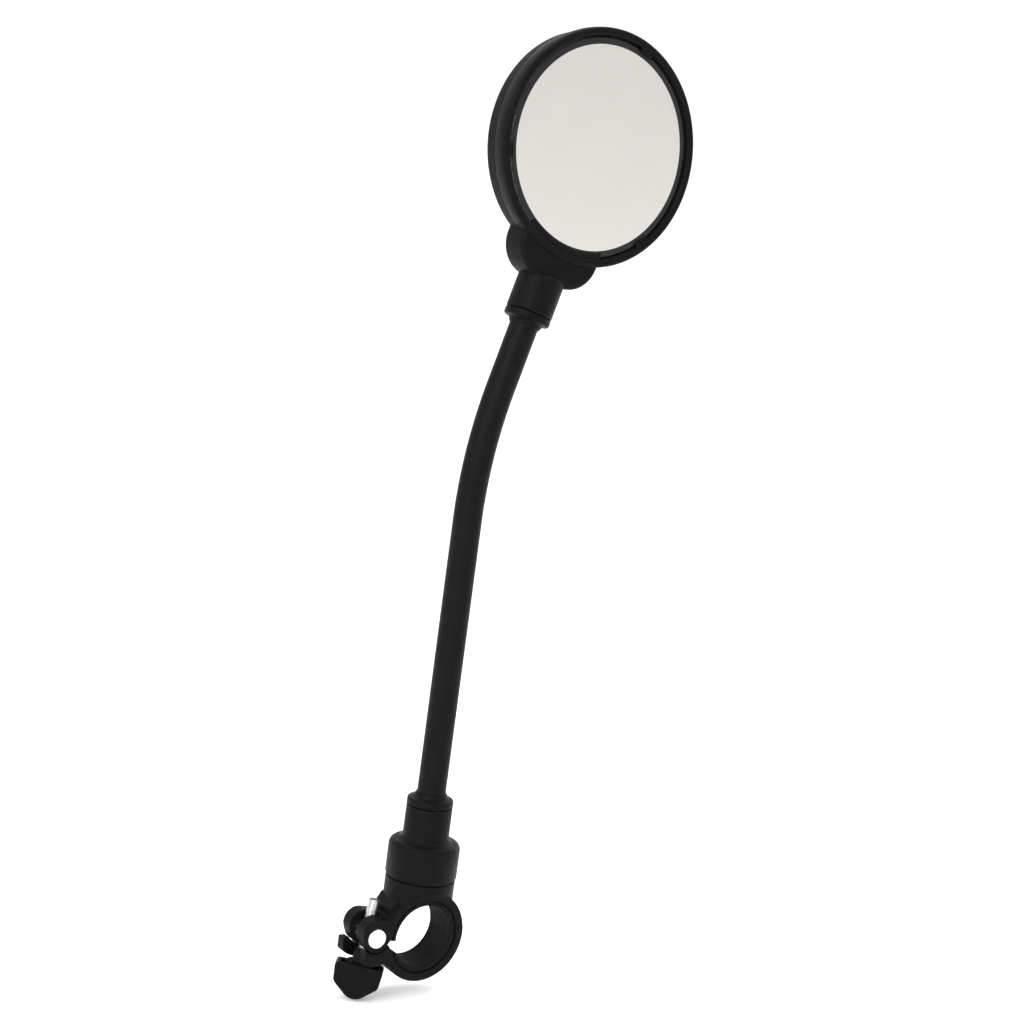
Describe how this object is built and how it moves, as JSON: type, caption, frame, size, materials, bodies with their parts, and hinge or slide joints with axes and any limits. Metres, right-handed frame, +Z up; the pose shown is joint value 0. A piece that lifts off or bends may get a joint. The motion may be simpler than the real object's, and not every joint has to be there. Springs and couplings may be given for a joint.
{
  "type": "bike mirror",
  "caption": "Round convex handlebar mirror on a bendable stem, with a lined bar clamp closed by a swinging thumbscrew.",
  "frame": {"origin": "middle of the handlebar bore", "axes": "+Y along the handlebar, +Z up the foot's swivel axis, the mirror faces -Y, the stem leans towards +X"},
  "size_m": [0.0992, 0.025, 0.3376],
  "materials": {
    "black_plastic": "satin moulded plastic",
    "liner_rubber": "dull rubber",
    "sleeve_plastic": "satin extruded sleeve",
    "core_metal": "plain wound steel",
    "bright_steel": "bright plated",
    "zinc_steel": "zinc plated",
    "ferrule_metal": "turned",
    "mirror": "convex silvered glass",
    "pad_foam": "foam pad"
  },
  "bodies": {
    "clamp": {"clamp_body": "black_plastic", "upper_liner": "liner_rubber", "swivel_washer": "zinc_steel", "friction_washer": "liner_rubber"},
    "strap": {"lower_jaw": "black_plastic", "lower_liner": "liner_rubber"},
    "bolt_nut": {"barrel_nut": "bright_steel"},
    "slider": {"slip_washer": "black_plastic"},
    "thumbscrew": {"threaded_stud": "zinc_steel", "thumb_knob": "black_plastic"},
    "stem_1": {"swivel_screw": "zinc_steel", "reducer_collar": "black_plastic", "lower_ferrule": "ferrule_metal", "lower_cap_ring": "black_plastic", "sleeve_1": "sleeve_plastic", "core_1": "core_metal"},
    "stem_2": {"sleeve_2": "sleeve_plastic", "core_2": "core_metal"},
    "stem_3": {"sleeve_3": "sleeve_plastic", "core_3": "core_metal"},
    "stem_4": {"sleeve_4": "sleeve_plastic", "core_4": "core_metal"},
    "stem_5": {"sleeve_5": "sleeve_plastic", "core_5": "core_metal"},
    "stem_6": {"sleeve_6": "sleeve_plastic", "core_6": "core_metal"},
    "stem_7": {"sleeve_7": "sleeve_plastic", "core_7": "core_metal", "upper_end_plug": "ferrule_metal", "upper_cap_ring": "black_plastic", "head_screw": "zinc_steel"},
    "head": {"upper_collar": "black_plastic", "front_shell": "black_plastic", "rear_shell": "black_plastic", "mirror_lens": "mirror", "lens_pad": "pad_foam", "head_washer": "zinc_steel"}
  },
  "joints": [
    {"name": "strap_flex", "type": "hinge", "parent": "clamp", "child": "strap", "pos_m": [0.01372, 0, 0.00499], "axis": [0, 1, 0], "range_deg": [-7.4, 0.7]},
    {"name": "bolt_swing", "type": "hinge", "parent": "clamp", "child": "bolt_nut", "pos_m": [-0.0189, 0, 0.001], "axis": [0, 1, 0], "range_deg": [0, 10]},
    {"name": "thumbscrew_travel", "type": "slide", "parent": "bolt_nut", "child": "slider", "axis": [0.1045, 0, 0.9945], "range_m": [-0.0042, 0.00035]},
    {"name": "thumbscrew_spin", "type": "hinge", "parent": "slider", "child": "thumbscrew", "pos_m": [-0.0189, 0, 0.001], "axis": [0.1045, 0, 0.9945], "range_deg": [-2162, 182]},
    {"name": "base_swivel", "type": "hinge", "parent": "clamp", "child": "stem_1", "pos_m": [0, 0, 0.0198], "axis": [0, 0, 1], "continuous": true},
    {"name": "stem_bend_1", "type": "hinge", "parent": "stem_1", "child": "stem_2", "pos_m": [0, 0, 0.07253], "axis": [0, 1, 0], "range_deg": [-20, 20]},
    {"name": "stem_bend_2", "type": "hinge", "parent": "stem_2", "child": "stem_3", "pos_m": [0, 0, 0.0969], "axis": [1, 0, 0], "range_deg": [-20, 20]},
    {"name": "stem_bend_3", "type": "hinge", "parent": "stem_3", "child": "stem_4", "pos_m": [0, 0, 0.12127], "axis": [0, 1, 0], "range_deg": [-20, 20]},
    {"name": "stem_bend_4", "type": "hinge", "parent": "stem_4", "child": "stem_5", "pos_m": [0, 0, 0.14565], "axis": [1, 0, 0], "range_deg": [-20, 20]},
    {"name": "stem_bend_5", "type": "hinge", "parent": "stem_5", "child": "stem_6", "pos_m": [0.00163, 0, 0.16908], "axis": [0, 1, 0], "range_deg": [-20, 20]},
    {"name": "stem_bend_6", "type": "hinge", "parent": "stem_6", "child": "stem_7", "pos_m": [0.00648, 0, 0.19206], "axis": [1, 0, 0], "range_deg": [-20, 20]},
    {"name": "head_swivel", "type": "hinge", "parent": "stem_7", "child": "head", "pos_m": [0.01371, 0, 0.21745], "axis": [0.274, 0, 0.9617], "continuous": true}
  ],
  "couplings": [
    {"joint": "thumbscrew_spin", "follows": "thumbscrew_travel", "rad_per_m": 8976},
    {"joint": "strap_flex", "follows": "thumbscrew_travel", "rad_per_m": 29.851}
  ]
}
